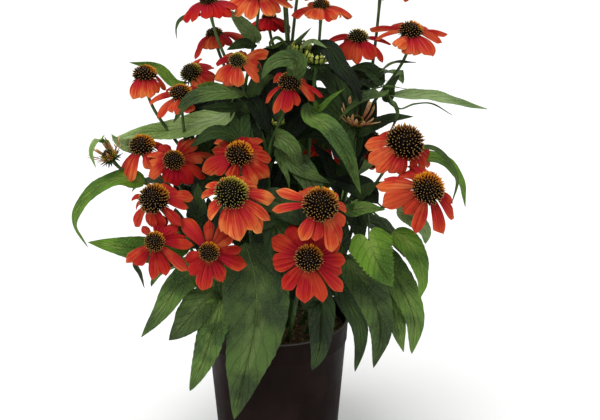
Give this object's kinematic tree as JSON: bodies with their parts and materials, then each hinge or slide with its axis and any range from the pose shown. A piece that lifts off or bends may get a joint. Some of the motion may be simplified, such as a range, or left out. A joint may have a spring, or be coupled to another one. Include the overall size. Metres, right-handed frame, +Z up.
{
  "type": "potted coneflower plant",
  "caption": "Flowering coneflower with orange-red drooping ray florets, spiny domed cones and lance-shaped leaves, growing in a plain round nursery pot.",
  "frame": {"origin": "middle of the underside of the pot, on the ground", "axes": "+Z up through the plant, -Y towards the side with the most flowers, +X to the right of it"},
  "size_m": [0.4422, 0.3565, 0.5978],
  "materials": {
    "pot": "satin",
    "soil": "matte",
    "stalk": "matte",
    "flower": "matte",
    "cone": "matte",
    "leaf": "matte"
  },
  "bodies": {
    "root": {"pot": "pot", "soil": "soil", "stalk_01": "stalk", "stalk_02": "stalk", "stalk_03": "stalk", "stalk_04": "stalk", "stalk_05": "stalk", "stalk_06": "stalk", "stalk_07": "stalk", "stalk_08": "stalk", "stalk_09": "stalk", "stalk_10": "stalk", "stalk_11": "stalk", "stalk_12": "stalk", "stalk_13": "stalk", "flower_01": "flower", "flower_02": "flower", "flower_03": "flower", "flower_04": "flower", "flower_05": "flower", "flower_06": "flower", "flower_07": "flower", "flower_08": "flower", "flower_09": "flower", "flower_10": "flower", "flower_11": "flower", "flower_12": "flower", "flower_13": "flower", "flower_14": "flower", "flower_15": "flower", "flower_16": "flower", "flower_17": "flower", "flower_18": "flower", "flower_19": "flower", "flower_20": "flower", "flower_21": "flower", "flower_22": "flower", "flower_23": "flower", "flower_24": "flower", "flower_25": "flower", "flower_26": "flower", "flower_27": "flower", "flower_28": "flower", "flower_29": "flower", "flower_30": "flower", "flower_31": "flower", "flower_32": "flower", "leaf_01": "leaf", "leaf_02": "leaf", "leaf_03": "leaf", "leaf_04": "leaf", "leaf_05": "leaf", "leaf_06": "leaf", "leaf_07": "leaf", "leaf_08": "leaf", "leaf_09": "leaf", "leaf_10": "leaf", "leaf_11": "leaf", "leaf_12": "leaf", "leaf_13": "leaf"}
  },
  "joints": []
}
